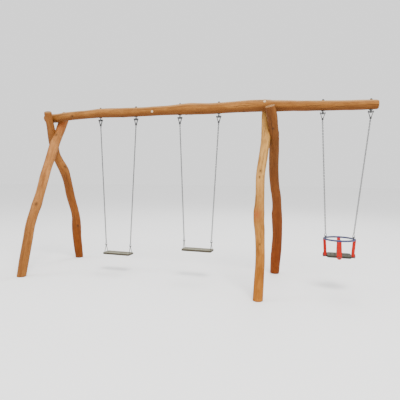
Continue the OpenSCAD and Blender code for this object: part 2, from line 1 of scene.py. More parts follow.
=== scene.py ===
"""The looks of the log-framed swing set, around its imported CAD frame.

Metres, +X along the beam towards the cradle, +Y to the back, +Z up.
"""

import json
import math

import bmesh
import bpy
import numpy as np
from mathutils import Matrix, Vector, noise


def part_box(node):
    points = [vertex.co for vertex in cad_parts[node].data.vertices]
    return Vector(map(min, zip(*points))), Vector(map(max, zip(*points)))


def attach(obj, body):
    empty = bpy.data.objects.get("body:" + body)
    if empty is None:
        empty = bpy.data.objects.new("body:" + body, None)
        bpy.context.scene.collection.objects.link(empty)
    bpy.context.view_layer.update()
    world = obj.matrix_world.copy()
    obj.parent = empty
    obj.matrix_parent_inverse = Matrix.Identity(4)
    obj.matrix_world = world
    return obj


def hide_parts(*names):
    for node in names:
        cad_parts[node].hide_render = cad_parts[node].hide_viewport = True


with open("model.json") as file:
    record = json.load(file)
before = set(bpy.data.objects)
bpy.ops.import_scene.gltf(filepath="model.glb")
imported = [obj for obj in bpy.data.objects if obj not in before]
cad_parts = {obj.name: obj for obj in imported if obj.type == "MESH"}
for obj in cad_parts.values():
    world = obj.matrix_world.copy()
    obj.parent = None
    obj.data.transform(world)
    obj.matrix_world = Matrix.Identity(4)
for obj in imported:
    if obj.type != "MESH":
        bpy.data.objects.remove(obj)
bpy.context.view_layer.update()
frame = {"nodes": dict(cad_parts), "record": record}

TAU = 2 * math.pi

# ---------------------------------------------------------------- camera and studio

CAMERA_PLACE = Vector((1.82, -5.54, 1.53))
CAMERA_YAW = math.radians(16.8)
CAMERA_PITCH = math.radians(3.5)
CAMERA_ROLL = math.radians(0.7)
CAMERA_LENS = 35.5


def add_camera():
    forward = Vector((
        -math.sin(CAMERA_YAW) * math.cos(CAMERA_PITCH),
        math.cos(CAMERA_YAW) * math.cos(CAMERA_PITCH),
        -math.sin(CAMERA_PITCH),
    ))
    level = Vector((math.cos(CAMERA_YAW), math.sin(CAMERA_YAW), 0))
    upright = level.cross(forward)
    across = level * math.cos(CAMERA_ROLL) + upright * math.sin(CAMERA_ROLL)
    upward = upright * math.cos(CAMERA_ROLL) - level * math.sin(CAMERA_ROLL)
    data = bpy.data.cameras.new("camera")
    data.sensor_width = 36
    data.lens = CAMERA_LENS
    camera = bpy.data.objects.new("camera", data)
    turn = Matrix((across, upward, -forward)).transposed().to_4x4()
    camera.matrix_world = Matrix.Translation(CAMERA_PLACE) @ turn
    bpy.context.scene.collection.objects.link(camera)
    bpy.context.scene.camera = camera


# Soft lights that look at LIGHT_TARGET: name, place, watts, colour.
STUDIO_LIGHTS = (
    ("key_light", (4, -6, 11), 1550, (1, 0.98, 0.95)),
    ("side_light", (-10, -5, 6), 400, (0.96, 0.98, 1)),
    ("back_light", (1, 8, 9), 420, (1, 1, 1)),
)
LIGHT_TARGET = Vector((0, 0, 1.3))
LIGHT_SIZE = 5
SKY_STRENGTH = 1.4
FLOOR_RADIUS = 60
FLOOR_WHITE = 0.97


def add_light(name, place, power, colour):
    data = bpy.data.lights.new(name, "AREA")
    data.shape = "DISK"
    data.size = LIGHT_SIZE
    data.energy = power
    data.color = colour
    light = bpy.data.objects.new(name, data)
    light.location = place
    light.rotation_euler = (LIGHT_TARGET - Vector(place)).to_track_quat("-Z", "Y").to_euler()
    bpy.context.scene.collection.objects.link(light)


def add_studio():
    for name, place, power, colour in STUDIO_LIGHTS:
        add_light(name, place, power, colour)
    world = bpy.data.worlds.new("studio")
    world.use_nodes = True
    background = world.node_tree.nodes["Background"]
    background.inputs["Color"].default_value = (1, 1, 1, 1)
    background.inputs["Strength"].default_value = SKY_STRENGTH
    bpy.context.scene.world = world

    bpy.ops.mesh.primitive_circle_add(vertices=96, radius=FLOOR_RADIUS, fill_type="NGON")
    floor = bpy.context.object
    floor.name = "floor"
    paint = Paint("floor_paint")
    paint.surface.inputs["Base Color"].default_value = (FLOOR_WHITE, FLOOR_WHITE, FLOOR_WHITE, 1)
    paint.surface.inputs["Roughness"].default_value = 0.95
    paint.surface.inputs["Specular IOR Level"].default_value = 0.1
    floor.data.materials.append(paint.material)


# ---------------------------------------------------------------- materials

class Paint:
    """A node material. Each method adds a node and gives back its output."""

    def __init__(self, name):
        self.material = bpy.data.materials.new(name)
        self.material.use_nodes = True
        self.tree = self.material.node_tree
        self.surface = self.tree.nodes["Principled BSDF"]

    def join(self, value, socket):
        if isinstance(value, bpy.types.NodeSocket):
            self.tree.links.new(value, socket)
        elif isinstance(value, tuple) and len(value) == 3 and len(socket.default_value) == 4:
            socket.default_value = (*value, 1)
        else:
            socket.default_value = value

    def place(self, scale, attribute=None):
        """Coordinates, from the object or from a named attribute, times scale."""
        if attribute:
            source = self.tree.nodes.new("ShaderNodeAttribute")
            source.attribute_name = attribute
            vector = source.outputs["Vector"]
        else:
            vector = self.tree.nodes.new("ShaderNodeTexCoord").outputs["Object"]
        node = self.tree.nodes.new("ShaderNodeMapping")
        self.join(vector, node.inputs["Vector"])
        node.inputs["Scale"].default_value = scale
        return node.outputs["Vector"]

    def value(self, attribute):
        node = self.tree.nodes.new("ShaderNodeAttribute")
        node.attribute_name = attribute
        return node.outputs["Fac"]

    def noise(self, vector, detail=4, rough=0.5, distortion=0.0):
        node = self.tree.nodes.new("ShaderNodeTexNoise")
        self.join(vector, node.inputs["Vector"])
        node.inputs["Scale"].default_value = 1
        node.inputs["Detail"].default_value = detail
        node.inputs["Roughness"].default_value = rough
        node.inputs["Distortion"].default_value = distortion
        return node.outputs[0]

    def cells(self, vector):
        node = self.tree.nodes.new("ShaderNodeTexVoronoi")
        self.join(vector, node.inputs["Vector"])
        node.inputs["Scale"].default_value = 1
        return node.outputs["Distance"]

    def cell_colour(self, vector):
        node = self.tree.nodes.new("ShaderNodeTexVoronoi")
        self.join(vector, node.inputs["Vector"])
        node.inputs["Scale"].default_value = 1
        return node.outputs["Color"]

    def maths(self, operation, a, b=0.0):
        node = self.tree.nodes.new("ShaderNodeMath")
        node.operation = operation
        self.join(a, node.inputs[0])
        self.join(b, node.inputs[1])
        return node.outputs[0]

    def spread(self, value, low, high, to_low=0.0, to_high=1.0):
        node = self.tree.nodes.new("ShaderNodeMapRange")
        self.join(value, node.inputs["Value"])
        node.inputs["From Min"].default_value = low
        node.inputs["From Max"].default_value = high
        node.inputs["To Min"].default_value = to_low
        node.inputs["To Max"].default_value = to_high
        return node.outputs["Result"]

    def mix(self, factor, a, b, blend="MIX"):
        node = self.tree.nodes.new("ShaderNodeMix")
        node.data_type = "RGBA"
        node.blend_type = blend
        self.join(factor, node.inputs[0])
        self.join(a, node.inputs[6])
        self.join(b, node.inputs[7])
        return node.outputs[2]

    def part(self, vector, axis):
        node = self.tree.nodes.new("ShaderNodeSeparateXYZ")
        self.join(vector, node.inputs[0])
        return node.outputs[axis]

    def facing_up(self):
        """The height part of the surface's own normal: 1 on top, -1 underneath."""
        node = self.tree.nodes.new("ShaderNodeNewGeometry")
        return self.part(node.outputs["Normal"], 2)

    def finish(self, colour, rough, bumps=()):
        """Joins the colour, the roughness and the bumps, each (height, metres)."""
        self.join(colour, self.surface.inputs["Base Color"])
        self.join(rough, self.surface.inputs["Roughness"])
        normal = None
        for height, distance in bumps:
            node = self.tree.nodes.new("ShaderNodeBump")
            node.inputs["Strength"].default_value = 1
            node.inputs["Distance"].default_value = distance
            self.join(height, node.inputs["Height"])
            if normal:
                self.join(normal, node.inputs["Normal"])
            normal = node.outputs["Normal"]
        if normal:
            self.join(normal, self.surface.inputs["Normal"])
        return self.material


# Deep tint: darkens random patches of the wood and, as painted shade, the undersides of the logs.
DEEP_TINT = (0.44, 0.34, 0.30)
PALE_TINT = (1.45, 1.55, 1.75)
# The colour that upward faces of the wood are mixed towards: partly wear, partly painted top light.
WORN_AND_LIT_WOOD = (0.50, 0.31, 0.14)
HEALED_WOOD = (0.30, 0.075, 0.018)
CRACK_WOOD = (0.030, 0.014, 0.007)
LATE_RING = (0.17, 0.070, 0.020)
EARLY_RING = (0.33, 0.185, 0.075)


def timber(name, low, high, along, reach):
    """Peeled and oiled log: its colour goes from low to high over reach, along one axis.

    Each tint is mixed in by a noise of its own. The wood is paler on top, partly from wear and partly
    as painted top light, and darker underneath, which is painted shade.
    """
    paint = Paint(name)
    fine = paint.noise(paint.place((240, 240, 4.5), "grain"), 6, 0.62)
    broad = paint.noise(paint.place((34, 34, 1.1), "grain"), 4, 0.55, 0.6)
    fibre = paint.noise(paint.place((620, 620, 16), "grain"), 3, 0.6)
    patch = paint.noise(paint.place((7, 7, 2.2), "grain"), 3, 0.55, 0.8)
    height = paint.part(paint.place((1, 1, 1)), along)
    body = paint.mix(paint.spread(height, *reach), low, high)
    deep = paint.mix(1.0, body, DEEP_TINT, "MULTIPLY")
    pale = paint.mix(1.0, body, PALE_TINT, "MULTIPLY")
    colour = paint.mix(paint.spread(broad, 0.36, 0.68, 0.0, 0.62), body, deep)
    colour = paint.mix(paint.spread(patch, 0.46, 0.74, 0.0, 0.75), colour, pale)
    colour = paint.mix(paint.spread(fine, 0.50, 0.70, 0.0, 0.65), colour, deep)
    colour = paint.mix(paint.spread(fibre, 0.52, 0.72, 0.0, 0.40), colour, pale)
    mottle = paint.noise(paint.place((26, 26, 12), "grain"), 5, 0.6, 0.5)
    colour = paint.mix(paint.spread(mottle, 0.47, 0.72, 0.0, 0.50), colour, deep)
    up = paint.facing_up()
    # Painted shade: the wood is darkened where its surface faces down.
    colour = paint.mix(paint.spread(up, 0.05, -0.75, 0.0, 0.85), colour, deep)
    # Paler where the surface faces up: partly wear, partly painted top light.
    pale_top = paint.maths("MULTIPLY", paint.spread(up, 0.45, 1.0), paint.spread(broad, 0.3, 0.7, 0.9, 0.45))
    colour = paint.mix(pale_top, colour, WORN_AND_LIT_WOOD)

    rings = paint.noise(paint.place((430, 430, 2), "ring"), 2, 0.5)
    ring_colour = paint.mix(paint.spread(rings, 0.40, 0.60), LATE_RING, EARLY_RING)
    colour = paint.mix(paint.value("cut"), colour, ring_colour)
    colour = paint.mix(paint.value("scar"), colour, HEALED_WOOD)
    colour = paint.mix(paint.value("dark"), colour, CRACK_WOOD)
    rough = paint.spread(fine, 0.3, 0.7, 0.58, 0.80)
    paint.surface.inputs["Specular IOR Level"].default_value = 0.12
    return paint.finish(colour, rough, ((fine, 0.0012), (fibre, 0.0004), (broad, 0.002)))


def plug_wood(name, low, high):
    """End grain of a round wooden plug, seen along X or along Y."""
    paint = Paint(name)
    rings = paint.noise(paint.place((160, 160, 160)), 3, 0.6, 1.2)
    pores = paint.cells(paint.place((900, 900, 900)))
    colour = paint.mix(paint.spread(rings, 0.38, 0.62), low, high)
    colour = paint.mix(paint.spread(pores, 0.0, 0.3, 0.45, 0.0), colour, low)
    return paint.finish(colour, paint.spread(rings, 0.3, 0.7, 0.6, 0.8), ((pores, 0.0003),))


def galvanised():
    paint = Paint("galvanised_zinc")
    spangle = paint.part(paint.cell_colour(paint.place((260, 260, 260))), 0)
    film = paint.noise(paint.place((55, 55, 55)), 5, 0.6)
    grit = paint.noise(paint.place((900, 900, 900)), 3, 0.6)
    colour = paint.mix(spangle, (0.050, 0.052, 0.053), (0.120, 0.122, 0.124))
    colour = paint.mix(paint.spread(film, 0.48, 0.75, 0.0, 0.7), colour, (0.060, 0.056, 0.048))
    paint.surface.inputs["Metallic"].default_value = 0.82
    rough = paint.spread(film, 0.3, 0.7, 0.38, 0.62)
    return paint.finish(colour, rough, ((grit, 0.00008), (spangle, 0.00005)))


def powder_coat():
    paint = Paint("dark_powder_coat")
    orange_peel = paint.noise(paint.place((700, 700, 700)), 2, 0.5)
    dust = paint.noise(paint.place((26, 26, 26)), 5, 0.65)
    colour = paint.mix(paint.spread(dust, 0.45, 0.8), (0.030, 0.030, 0.032), (0.12, 0.11, 0.095))
    return paint.finish(colour, paint.spread(dust, 0.3, 0.8, 0.38, 0.7), ((orange_peel, 0.00012),))


def nylon():
    paint = Paint("nylon_turned")
    lines = paint.noise(paint.place((1600, 30, 30)), 2, 0.5)
    colour = paint.mix(lines, (0.035, 0.035, 0.038), (0.075, 0.075, 0.08))
    return paint.finish(colour, paint.spread(lines, 0.3, 0.7, 0.42, 0.58), ((lines, 0.00004),))


def mill_aluminium():
    paint = Paint("mill_aluminium")
    rolling = paint.noise(paint.place((6, 900, 900)), 3, 0.6)
    colour = paint.mix(rolling, (0.62, 0.63, 0.64), (0.80, 0.81, 0.82))
    paint.surface.inputs["Metallic"].default_value = 0.95
    return paint.finish(colour, paint.spread(rolling, 0.3, 0.7, 0.28, 0.42), ((rolling, 0.00003),))


def moulded_rubber(name, side, top, stain):
    """Rubber that is paler on top, in specks."""
    paint = Paint(name)
    grain = paint.noise(paint.place((1300, 1300, 1300)), 2, 0.6)
    crumb = paint.cells(paint.place((330, 330, 330)))
    cloud = paint.noise(paint.place((17, 17, 17)), 5, 0.62, 0.4)
    speck = paint.noise(paint.place((130, 130, 130)), 4, 0.7)
    up = paint.spread(paint.facing_up(), 0.55, 0.98)
    paler_on_top = paint.maths("MULTIPLY", up, paint.spread(speck, 0.25, 0.62, 0.55, 1.0))
    colour = paint.mix(paint.spread(cloud, 0.4, 0.7), side, tuple(c * 1.5 for c in side))
    pale = paint.mix(paint.spread(cloud, 0.42, 0.70), top, stain)
    colour = paint.mix(paler_on_top, colour, pale)
    colour = paint.mix(paint.spread(crumb, 0.0, 0.35, 0.25, 0.0), colour, side)
    rough = paint.spread(cloud, 0.3, 0.7, 0.62, 0.86)
    paint.surface.inputs["Specular IOR Level"].default_value = 0.3
    return paint.finish(colour, rough, ((crumb, 0.0004), (grain, 0.00012)))


def blue_rubber():
    paint = Paint("blue_rubber_sleeve")
    grain = paint.noise(paint.place((900, 900, 900)), 2, 0.6)
    scuff = paint.noise(paint.place((40, 40, 40)), 6, 0.7)
    colour = paint.mix(paint.spread(scuff, 0.40, 0.62), (0.012, 0.016, 0.070), (0.030, 0.038, 0.125))
    up = paint.spread(paint.facing_up(), 0.5, 1.0)
    pale_top = paint.maths("MULTIPLY", up, paint.spread(scuff, 0.5, 0.8, 0, 0.5))
    colour = paint.mix(pale_top, colour, (0.070, 0.080, 0.150))
    return paint.finish(colour, paint.spread(scuff, 0.3, 0.7, 0.36, 0.6), ((grain, 0.0001),))


def red_moulding():
    """Red plastic, in the sleeve's blue where a clip goes round the ring."""
    paint = Paint("red_moulded_plastic")
    grain = paint.noise(paint.place((1100, 1100, 1100)), 2, 0.6)
    flow = paint.noise(paint.place((24, 24, 9)), 5, 0.6, 0.7)
    scratch = paint.noise(paint.place((420, 420, 18)), 4, 0.75)
    colour = paint.mix(paint.spread(flow, 0.35, 0.7), (0.46, 0.0085, 0.0025), (0.33, 0.0050, 0.0020))
    colour = paint.mix(paint.spread(scratch, 0.60, 0.74, 0.0, 0.35), colour, (0.50, 0.045, 0.022))
    colour = paint.mix(paint.value("sleeved"), colour, (0.026, 0.033, 0.110))
    paint.surface.inputs["Specular IOR Level"].default_value = 0.14
    return paint.finish(colour, paint.spread(flow, 0.3, 0.7, 0.40, 0.58), ((grain, 0.0001), (flow, 0.0005)))


# ---------------------------------------------------------------- meshes

def add_object(name, points, faces, material, body, replaced=()):
    mesh = bpy.data.meshes.new(name)
    mesh.from_pydata([tuple(p) for p in points], [], faces)
    mesh.polygons.foreach_set("use_smooth", [True] * len(mesh.polygons))
    mesh.materials.append(material)
    mesh.update()
    piece = bpy.data.objects.new(name, mesh)
    bpy.context.scene.collection.objects.link(piece)
    return settle(piece, body, replaced)


def settle(piece, body, replaced):
    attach(piece, body)
    if replaced:
        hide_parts(*replaced)
    return piece


def tube_faces(rings, sides, start=0, closed=False):
    """Quads between rings of points that lie one after another."""
    faces = []
    for i in range(rings if closed else rings - 1):
        j = (i + 1) % rings
        for k in range(sides):
            n = (k + 1) % sides
            faces.append((start + i * sides + k, start + i * sides + n,
                          start + j * sides + n, start + j * sides + k))
    return faces


# ---------------------------------------------------------------- logs

RING_STEP = 0.013
RING_SIDES = 128
BEAM_ROUND_OFF = 0.030
LEG_ROUND_OFF = 0.014
CAP_RINGS = (0.90, 0.74, 0.56, 0.38, 0.20)
FOOT_SPREAD = 1.500
CROSSING_Z = 2.130
LEG_BOW = 0.060
FOOT_FLAT = 0.18
# Lumps of a log's surface: (height, scale around, scale along).
LUMPS = ((0.0042, 9, 3.4), (0.0015, 34, 9), (0.0007, 150, 12))
LUMP_INSET = 0.0022
LUMP_RANGE = (-0.006, 0.0030)
CRACKS_PER_METRE = 6
# The splits and the saw's marks in a sawn end.
END_SPLITS = 5
SPLIT_START = 0.3
SPLIT_HALF = 0.0045
SPLIT_DEEP = 0.003
SAW_MARK = 0.0006

# The beam's course: (x, z, radius).
BEAM_COURSE = (
    (-2.520, 2.440, 0.068), (-2.290, 2.440, 0.073), (-2.100, 2.462, 0.072), (-1.730, 2.481, 0.068),
    (-1.520, 2.491, 0.073), (-1.100, 2.487, 0.073), (-0.700, 2.491, 0.072), (-0.310, 2.498, 0.075),
    (0.000, 2.504, 0.085), (0.310, 2.498, 0.079), (0.660, 2.508, 0.080), (1.000, 2.512, 0.084),
    (1.160, 2.503, 0.082), (1.490, 2.491, 0.074), (1.950, 2.478, 0.068), (2.390, 2.471, 0.066),
    (2.520, 2.469, 0.063),
)

# A leg: its pair's x, its side, and its course: (height, sideways from there, radius).
LEG_COURSES = {
    "left_back_leg": (-2.350, 1, (
        (0.000, -0.052, 0.070), (0.200, -0.042, 0.077), (0.400, -0.028, 0.078), (0.600, 0.000, 0.083),
        (0.790, 0.028, 0.073), (1.150, 0.011, 0.072), (1.480, 0.016, 0.074), (1.590, 0.008, 0.080),
        (1.750, -0.042, 0.073), (1.840, -0.064, 0.069), (2.000, -0.060, 0.074), (2.150, -0.043, 0.072),
        (2.300, -0.022, 0.064), (2.450, -0.010, 0.062), (2.516, 0.000, 0.060))),
    "left_front_leg": (-2.350, -1, (
        (0.000, -0.046, 0.070), (0.220, -0.048, 0.072), (0.500, -0.045, 0.073), (0.800, -0.044, 0.074),
        (0.950, -0.024, 0.074), (1.040, -0.010, 0.078), (1.180, 0.003, 0.070), (1.500, 0.012, 0.073),
        (1.650, 0.018, 0.070), (1.820, 0.028, 0.074), (1.980, 0.033, 0.076), (2.150, 0.058, 0.070),
        (2.320, 0.074, 0.075), (2.450, 0.090, 0.072), (2.535, 0.100, 0.067))),
    "right_back_leg": (1.150, 1, (
        (0.000, 0.028, 0.073), (0.120, 0.034, 0.076), (0.290, 0.046, 0.082), (0.460, 0.061, 0.079),
        (0.620, 0.072, 0.076), (0.940, 0.070, 0.081), (1.100, 0.072, 0.072), (1.250, 0.064, 0.072),
        (1.400, 0.045, 0.070), (1.550, 0.036, 0.071), (1.960, 0.049, 0.071), (2.110, 0.050, 0.071),
        (2.230, 0.043, 0.069), (2.350, 0.032, 0.072), (2.480, 0.005, 0.070))),
    "right_front_leg": (1.150, -1, (
        (0.000, -0.015, 0.064), (0.240, -0.014, 0.063), (0.470, -0.015, 0.061), (0.710, -0.033, 0.063),
        (0.840, -0.045, 0.068), (0.960, -0.063, 0.072), (1.080, -0.070, 0.074), (1.160, -0.070, 0.067),
        (1.280, -0.073, 0.061), (1.540, -0.088, 0.063), (1.820, -0.070, 0.062), (2.020, -0.058, 0.063),
        (2.160, -0.060, 0.067), (2.390, -0.077, 0.067), (2.600, -0.084, 0.062))),
}

# Branch scars: (place along the log, degrees around it, radius, height).
SCARS = {
    "beam": (
        (0.55, 200, 0.022, 0.004), (1.42, 262, 0.020, 0.003), (2.48, 285, 0.030, 0.006),
        (3.30, 250, 0.018, 0.003), (3.62, 95, 0.026, 0.006), (4.40, 268, 0.017, 0.003)),
    "left_back_leg": ((0.66, -40, 0.024, 0.006), (1.74, -20, 0.026, 0.005), (2.05, 110, 0.02, 0.004)),
    "left_front_leg": ((1.10, -60, 0.022, 0.004), (2.28, -75, 0.020, 0.004), (0.45, 140, 0.02, 0.004)),
    "right_back_leg": (
        (2.35, -88, 0.016, 0.003), (2.26, -8, 0.017, 0.004), (1.02, -160, 0.022, 0.006),
        (0.35, 60, 0.020, 0.004)),
    "right_front_leg": (
        (1.67, -82, 0.021, 0.004), (1.58, -92, 0.016, 0.003), (0.69, -88, 0.016, 0.003),
        (2.25, 100, 0.018, 0.004)),
}
# Healed wounds, redder than the rest: (place along, degrees around, radius).
WOUNDS = {"right_front_leg": ((1.07, -110, 0.060),), "left_front_leg": ((2.50, -70, 0.110),)}


def course_of_leg(pair_x, side, knots):
    course = []
    for height, sideways, radius in knots:
        share = height / CROSSING_Z
        lean = FOOT_SPREAD / 2 * (1 - share) + LEG_BOW * math.sin(math.pi * share)
        course.append((pair_x + sideways, side * lean, height, radius))
    return np.array(course)


def smooth_course(knots, round_off):
    """Points every RING_STEP along a smooth curve through the knots, closer where the ends round off."""
    reach = np.concatenate([[0], np.cumsum(np.linalg.norm(np.diff(knots[:, :3], axis=0), axis=1))])
    length = reach[-1]
    edge = round_off * np.array([0, 0.12, 0.3, 0.6])
    inner = np.linspace(round_off, length - round_off, int(length / RING_STEP))
    places = np.concatenate([edge, inner, length - edge[::-1]])
    slope = np.gradient(knots, reach, axis=0)
    cell = np.clip(np.searchsorted(reach, places, side="right") - 1, 0, len(reach) - 2)
    width = (reach[cell + 1] - reach[cell])[:, None]
    t = ((places - reach[cell]) / width[:, 0])[:, None]
    curve = (
        (2 * t**3 - 3 * t**2 + 1) * knots[cell] + (t**3 - 2 * t**2 + t) * width * slope[cell]
        + (3 * t**2 - 2 * t**3) * knots[cell + 1] + (t**3 - t**2) * width * slope[cell + 1]
    )
    return places, curve


def around(angle, middle):
    return (angle - middle + math.pi) % TAU - math.pi


def lumpy(radius, a, s, shift):
    """The log's radius with slow swellings, small lumps and fine fibre, a little inside the CAD."""
    straight = np.stack([radius * np.cos(a), radius * np.sin(a), s], axis=-1)
    lumps = np.empty(a.shape)
    for i in range(a.shape[0]):
        for k in range(a.shape[1]):
            p = Vector(straight[i, k])
            lumps[i, k] = sum(
                height * noise.noise(Vector((p.x * round_scale, p.y * round_scale, p.z * long_scale)) + shift)
                for height, round_scale, long_scale in LUMPS
            )
    return radius - LUMP_INSET + np.clip(lumps, *LUMP_RANGE)


def cut_branch_scars(node, radius, dark, a, s):
    for place, turn, size, rise in SCARS[node]:
        away = np.hypot((s - place) / 1.35, around(a, math.radians(turn)) * radius)
        radius += rise * 0.7 * np.exp(-((away - size) / (0.45 * size)) ** 2)
        radius -= rise * 0.9 * np.exp(-(away / (0.55 * size)) ** 2)
        np.maximum(dark, 0.85 * np.exp(-(away / (0.60 * size)) ** 4), out=dark)
        np.maximum(dark, 0.40 * np.exp(-((away - 0.95 * size) / (0.22 * size)) ** 2), out=dark)


def healed_wounds(node, radius, a, s):
    """How red the healed wood is at each point, from 0 to 1."""
    scar = np.zeros(a.shape)
    for place, turn, size in WOUNDS.get(node, ()):
        away = np.hypot((s - place) / 1.2, around(a, math.radians(turn)) * radius)
        scar = np.maximum(scar, 0.75 * np.exp(-(away / size) ** 2))
    return scar


def cut_cracks(rng, radius, dark, a, s):
    """Drying cracks at random places, each a groove that wanders along the grain."""
    length = s.max()
    for _ in range(int(length * CRACKS_PER_METRE)):
        start = rng.uniform(-0.05, length - 0.1)
        reach = rng.uniform(0.16, 0.62)
        middle = rng.uniform(0, TAU)
        drift = rng.uniform(-0.25, 0.25)
        wide = rng.uniform(0.0030, 0.0052)
        deep = rng.uniform(0.002, 0.0055)
        share = np.clip((s - start) / reach, 0, 1)
        wander = 0.05 * np.sin(share * 17 + middle * 5) + 0.03 * np.sin(share * 41 + middle)
        off = np.abs(around(a, middle + drift * share + wander)) * radius
        taper = np.sin(math.pi * share) ** 0.6
        groove = np.clip(1 - off / (wide * np.maximum(taper, 0.15)), 0, 1) * taper
        radius -= deep * groove
        np.maximum(dark, 0.8 * np.clip(groove * 1.6, 0, 1), out=dark)


def flattened(plane, places):
    """The cutting planes' normals, turned upright over the foot so that it stands flat."""
    share = np.clip(places / FOOT_FLAT, 0, 1)[:, None]
    share = share * share * (3 - 2 * share)
    plane = (1 - share) * np.array([0, 0, 1.0]) + share * plane
    return plane / np.linalg.norm(plane, axis=1)[:, None]


def make_log(node, knots, flat_foot, across, round_off, material, seed):
    """A log swept along its course, with lumps, branch scars, drying cracks and sawn ends."""
    rng = np.random.default_rng(seed)
    shift = Vector((seed * 1.7, seed * 2.3, seed * 3.1))
    places, curve = smooth_course(knots, round_off)
    centre = curve[:, :3]
    length = places[-1]
    tangent = np.gradient(centre, places, axis=0)
    tangent /= np.linalg.norm(tangent, axis=1)[:, None]
    first = across - tangent * (tangent @ across)[:, None]
    first /= np.linalg.norm(first, axis=1)[:, None]
    second = np.cross(tangent, first)
    angle = np.arange(RING_SIDES) * TAU / RING_SIDES
    a, s = np.meshgrid(angle, places)

    radius = lumpy(np.repeat(curve[:, 3:], RING_SIDES, axis=1), a, s, shift)
    dark = np.zeros(a.shape)
    cut_branch_scars(node, radius, dark, a, s)
    scar = healed_wounds(node, radius, a, s)
    cut_cracks(rng, radius, dark, a, s)
    edge = np.clip(1 - np.minimum(s, length - s) / round_off, 0, 1)
    radius -= round_off * 0.8 * (1 - np.sqrt(1 - edge**2))

    plane = flattened(tangent, places) if flat_foot else tangent
    spoke = np.cos(a)[..., None] * first[:, None] + np.sin(a)[..., None] * second[:, None]
    offset = spoke * radius[..., None]
    tilt = np.einsum("ikc,ic->ik", offset, plane) / np.einsum("ic,ic->i", tangent, plane)[:, None]
    points = centre[:, None] + offset - tangent[:, None] * tilt[..., None]

    rings = len(places)
    all_points = [points.reshape(-1, 3)]
    grain = [np.stack([radius * np.cos(a), radius * np.sin(a), s], axis=-1).reshape(-1, 3)]
    darks = [dark.reshape(-1)]
    scars = [scar.reshape(-1)]
    cuts = [np.clip(edge * 3 - 1.8, 0, 1).reshape(-1)]
    faces = tube_faces(rings, RING_SIDES)
    count = rings * RING_SIDES
    splits = rng.uniform(0, TAU, END_SPLITS)
    for last in (False, True):
        end = rings - 1 if last else 0
        outward = tangent[end] if last else -plane[end]
        before = end * RING_SIDES
        rim = points[end] - centre[end]
        for share in CAP_RINGS:
            dent = np.zeros(RING_SIDES)
            if share > SPLIT_START:
                for split in splits:
                    gap = np.abs(around(angle, split)) * share * 0.07
                    dent = np.maximum(dent, np.clip(1 - gap / SPLIT_HALF, 0, 1))
            rough = np.array([noise.noise(Vector(rim[k] * share * 60) + shift) for k in range(RING_SIDES)])
            sunk = 0 if flat_foot and not last else 1
            level = sunk * (SPLIT_DEEP * dent + SAW_MARK * (1 + rough))
            all_points.append(centre[end] + rim * share - outward * level[:, None])
            spread = radius[end] * share
            grain.append(np.stack([spread * np.cos(angle), spread * np.sin(angle),
                                   np.full(RING_SIDES, places[end])], axis=-1))
            darks.append(0.75 * dent)
            scars.append(np.zeros(RING_SIDES))
            cuts.append(np.ones(RING_SIDES))
            for k in range(RING_SIDES):
                n = (k + 1) % RING_SIDES
                quad = (before + k, before + n, count + n, count + k)
                faces.append(quad if last else quad[::-1])
            before = count
            count += RING_SIDES
        all_points.append(centre[end][None])
        grain.append(np.array([[0, 0, places[end]]]))
        darks.append(np.array([0.5]))
        scars.append(np.zeros(1))
        cuts.append(np.ones(1))
        for k in range(RING_SIDES):
            n = (k + 1) % RING_SIDES
            faces.append((before + k, before + n, count) if last else (before + n, before + k, count))
        count += 1

    low, high = (np.array(corner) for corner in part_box(node))
    boxed = np.clip(np.concatenate(all_points), low, high)
    piece = add_object(node + "_log", boxed, faces, material, "frame", (node,))
    straight = np.concatenate(grain)
    ring = np.zeros(straight.shape)
    ring[:, 0] = np.hypot(straight[:, 0], straight[:, 1])
    straight[:, 2] += seed * 11
    store(piece, "grain", straight)
    store(piece, "ring", ring)
    store(piece, "dark", np.concatenate(darks))
    store(piece, "scar", np.concatenate(scars))
    store(piece, "cut", np.concatenate(cuts))


def store(piece, name, values):
    """Keeps a number or a vector for each point of a piece, for its material."""
    vector = values.ndim == 2
    kind = "FLOAT_VECTOR" if vector else "FLOAT"
    attribute = piece.data.attributes.new(name, kind, "POINT")
    attribute.data.foreach_set("vector" if vector else "value", values.astype(np.float32).ravel())


def add_logs():
    beam = np.array([(x, 0, z, r) for x, z, r in BEAM_COURSE])
    wood = timber("beam_wood", (0.27, 0.108, 0.021), (0.27, 0.108, 0.021), 0, (-2.5, 2.5))
    make_log("beam", beam, False, np.array([0.0, 1.0, 0.0]), BEAM_ROUND_OFF, wood, 1)
    looks = {
        "left_back_leg": ((0.21, 0.055, 0.005), (0.25, 0.095, 0.020)),
        "left_front_leg": ((0.27, 0.105, 0.022), (0.36, 0.150, 0.040)),
        "right_back_leg": ((0.21, 0.047, 0.005), (0.19, 0.070, 0.015)),
        "right_front_leg": ((0.31, 0.108, 0.012), (0.44, 0.225, 0.055)),
    }
    for seed, (node, (pair_x, side, knots)) in enumerate(LEG_COURSES.items(), 2):
        low, high = looks[node]
        wood = timber(node + "_wood", low, high, 2, (0.3, 1.8))
        across = np.array([1.0, 0.0, 0.0])
        make_log(node, course_of_leg(pair_x, side, knots), True, across, LEG_ROUND_OFF, wood, seed)


# ---------------------------------------------------------------- chains

WIRE_R = 0.003
LINK_PITCH = 0.0185
LINK_HALF_W = 0.0072
LINK_STEPS = 20
WIRE_SIDES = 8
HOOK_IN = 0.011


def link_path(reach):
    """The centre line of one link in its own plane: two half circles and two straights."""
    straight = reach / 2 - LINK_HALF_W
    path = []
    half = LINK_STEPS // 2
    for end in (0, 1):
        for i in range(half):
            turn = math.pi * (end + i / (half - 1))
            path.append((LINK_HALF_W * math.cos(turn),
                         LINK_HALF_W * math.sin(turn) + (straight if end == 0 else -straight)))
    return path


